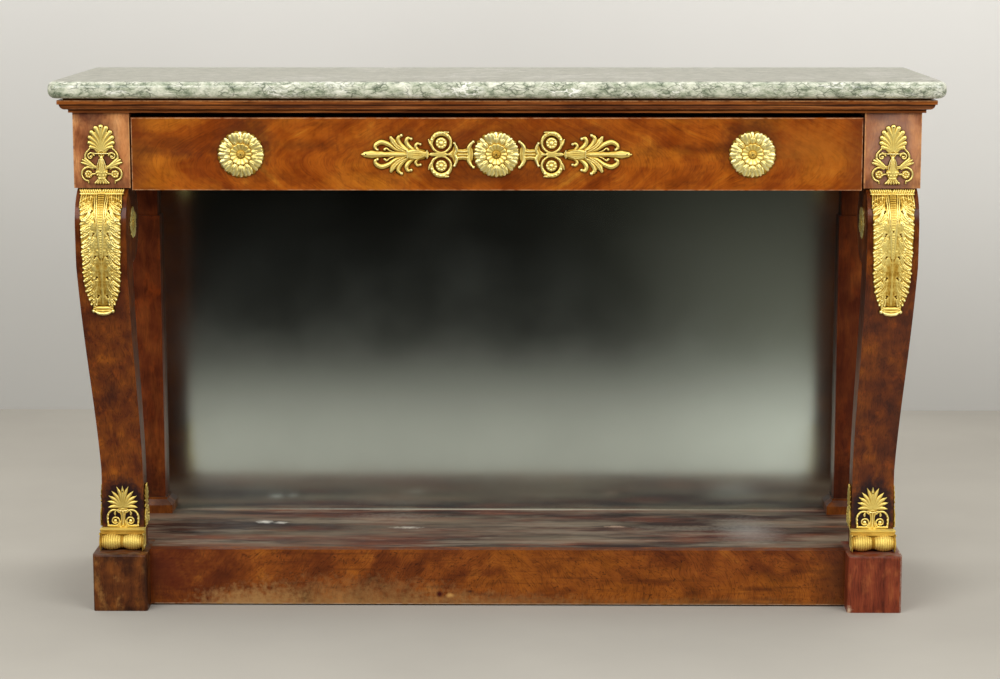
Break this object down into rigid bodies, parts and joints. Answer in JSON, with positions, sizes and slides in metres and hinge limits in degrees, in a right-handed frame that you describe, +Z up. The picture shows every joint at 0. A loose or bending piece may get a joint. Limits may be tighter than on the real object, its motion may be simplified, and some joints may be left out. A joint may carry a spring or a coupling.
{
  "type": "pier table",
  "caption": "Empire style console with a marble top, a frieze drawer, scroll legs on a plinth, a mirrored back and gilt palmette and acanthus mounts.",
  "frame": {"origin": "on the floor, under the middle of the table's width and depth", "axes": "+Z up, -Y towards the front with the drawer, +X to the right seen from the front"},
  "size_m": [1.496, 0.447, 0.915],
  "materials": {
    "mahogany": "french polished, worn",
    "carcase_wood": "bare, aged",
    "green_marble": "polished, veined",
    "gilt_bronze": "mercury gilt",
    "mirror_glass": "aged silvering"
  },
  "bodies": {
    "table": {"acanthus_mount_left": "gilt_bronze", "acanthus_mount_right": "gilt_bronze", "cornice_front": "mahogany", "cornice_left": "mahogany", "cornice_right": "mahogany", "drawer_guide_left": "carcase_wood", "drawer_guide_right": "carcase_wood", "drawer_kicker_left": "carcase_wood", "drawer_kicker_right": "carcase_wood", "drawer_runner_left": "carcase_wood", "drawer_runner_right": "carcase_wood", "drawer_stops": "carcase_wood", "frieze_back_rail": "carcase_wood", "frieze_block_left": "mahogany", "frieze_block_right": "mahogany", "frieze_bottom_rail": "carcase_wood", "frieze_palmette_left": "gilt_bronze", "frieze_palmette_right": "gilt_bronze", "frieze_side_left": "mahogany", "frieze_side_right": "mahogany", "frieze_top_rail": "mahogany", "glue_blocks": "carcase_wood", "leg_dowels": "carcase_wood", "leg_mount_pins": "gilt_bronze", "marble_top": "green_marble", "mirror_backboard": "carcase_wood", "mirror_glass": "mirror_glass", "pilaster_base_left": "mahogany", "pilaster_base_right": "mahogany", "pilaster_neck_left": "mahogany", "pilaster_neck_right": "mahogany", "pilaster_shaft_left": "mahogany", "pilaster_shaft_right": "mahogany", "platform_board": "mahogany", "plinth_back_rail": "carcase_wood", "plinth_block_left": "mahogany", "plinth_block_right": "mahogany", "plinth_rail_front": "mahogany", "plinth_side_left": "mahogany", "plinth_side_right": "mahogany", "scroll_leg_left": "mahogany", "scroll_leg_right": "mahogany", "side_palmettes_left": "gilt_bronze", "side_palmettes_right": "gilt_bronze", "toe_palmette_left": "gilt_bronze", "toe_palmette_right": "gilt_bronze", "toe_scroll_left": "gilt_bronze", "toe_scroll_right": "gilt_bronze", "volute_rosettes_left": "gilt_bronze", "volute_rosettes_right": "gilt_bronze"},
    "drawer": {"drawer_front": "mahogany", "drawer_side_left": "carcase_wood", "drawer_side_right": "carcase_wood", "drawer_back": "carcase_wood", "drawer_bottom": "carcase_wood", "drawer_rosette_left": "gilt_bronze", "drawer_rosette_right": "gilt_bronze", "drawer_centre_mount": "gilt_bronze", "drawer_mount_pins": "gilt_bronze"}
  },
  "joints": [
    {"name": "drawer_slide", "type": "slide", "parent": "table", "child": "drawer", "axis": [0, -1, 0], "range_m": [0, 0.24]}
  ]
}
